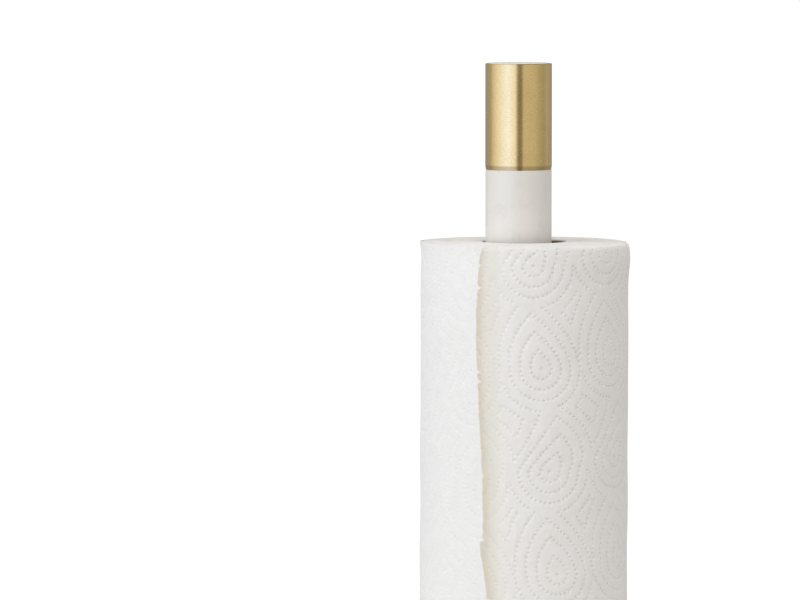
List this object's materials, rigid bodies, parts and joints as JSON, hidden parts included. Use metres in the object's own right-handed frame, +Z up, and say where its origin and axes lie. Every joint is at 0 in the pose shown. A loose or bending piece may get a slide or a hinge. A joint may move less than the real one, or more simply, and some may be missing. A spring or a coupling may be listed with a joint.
{
  "type": "paper towel holder",
  "caption": "Free-standing kitchen roll holder with a round marble base, a straight marble post and a brushed brass cap, loaded with a roll that turns and lifts off.",
  "frame": {"origin": "centre of the underside of the felt pad, on the surface the holder stands on", "axes": "+Z up along the post, -Y towards the front, where the roll's loose edge shows, +X to the right"},
  "size_m": [0.16, 0.16, 0.3412],
  "materials": {
    "white_marble": "satin",
    "brushed_brass": "satin",
    "grey_felt": "matte",
    "zinc_steel": "satin",
    "nylon": "matte",
    "foam_rubber": "matte",
    "core_board": "matte",
    "towel_paper": "matte"
  },
  "bodies": {
    "holder": {"base_disc": "white_marble", "felt_pad": "grey_felt", "marble_post": "white_marble", "brass_cap": "brushed_brass", "inlay_pad": "foam_rubber", "cap_inlay": "white_marble", "tie_rod": "zinc_steel", "cap_washer": "zinc_steel", "cap_spring_washer": "zinc_steel", "cap_nut": "zinc_steel", "base_washer": "zinc_steel", "base_spring_washer": "zinc_steel", "base_nut": "zinc_steel", "foot_bush": "nylon", "cap_bush": "nylon", "foot_gasket": "foam_rubber"},
    "roll_core": {"core_inner_ply": "core_board", "core_outer_ply": "core_board"},
    "paper": {"paper_roll": "towel_paper", "outer_sheet": "towel_paper"}
  },
  "joints": [
    {"name": "roll_lift", "type": "slide", "parent": "holder", "child": "roll_core", "axis": [0, 0, 1], "range_m": [0, 0.33]},
    {"name": "roll_spin", "type": "hinge", "parent": "roll_core", "child": "paper", "pos_m": [0.0028, 0, 0.1342], "axis": [0, 0, 1], "continuous": true}
  ]
}
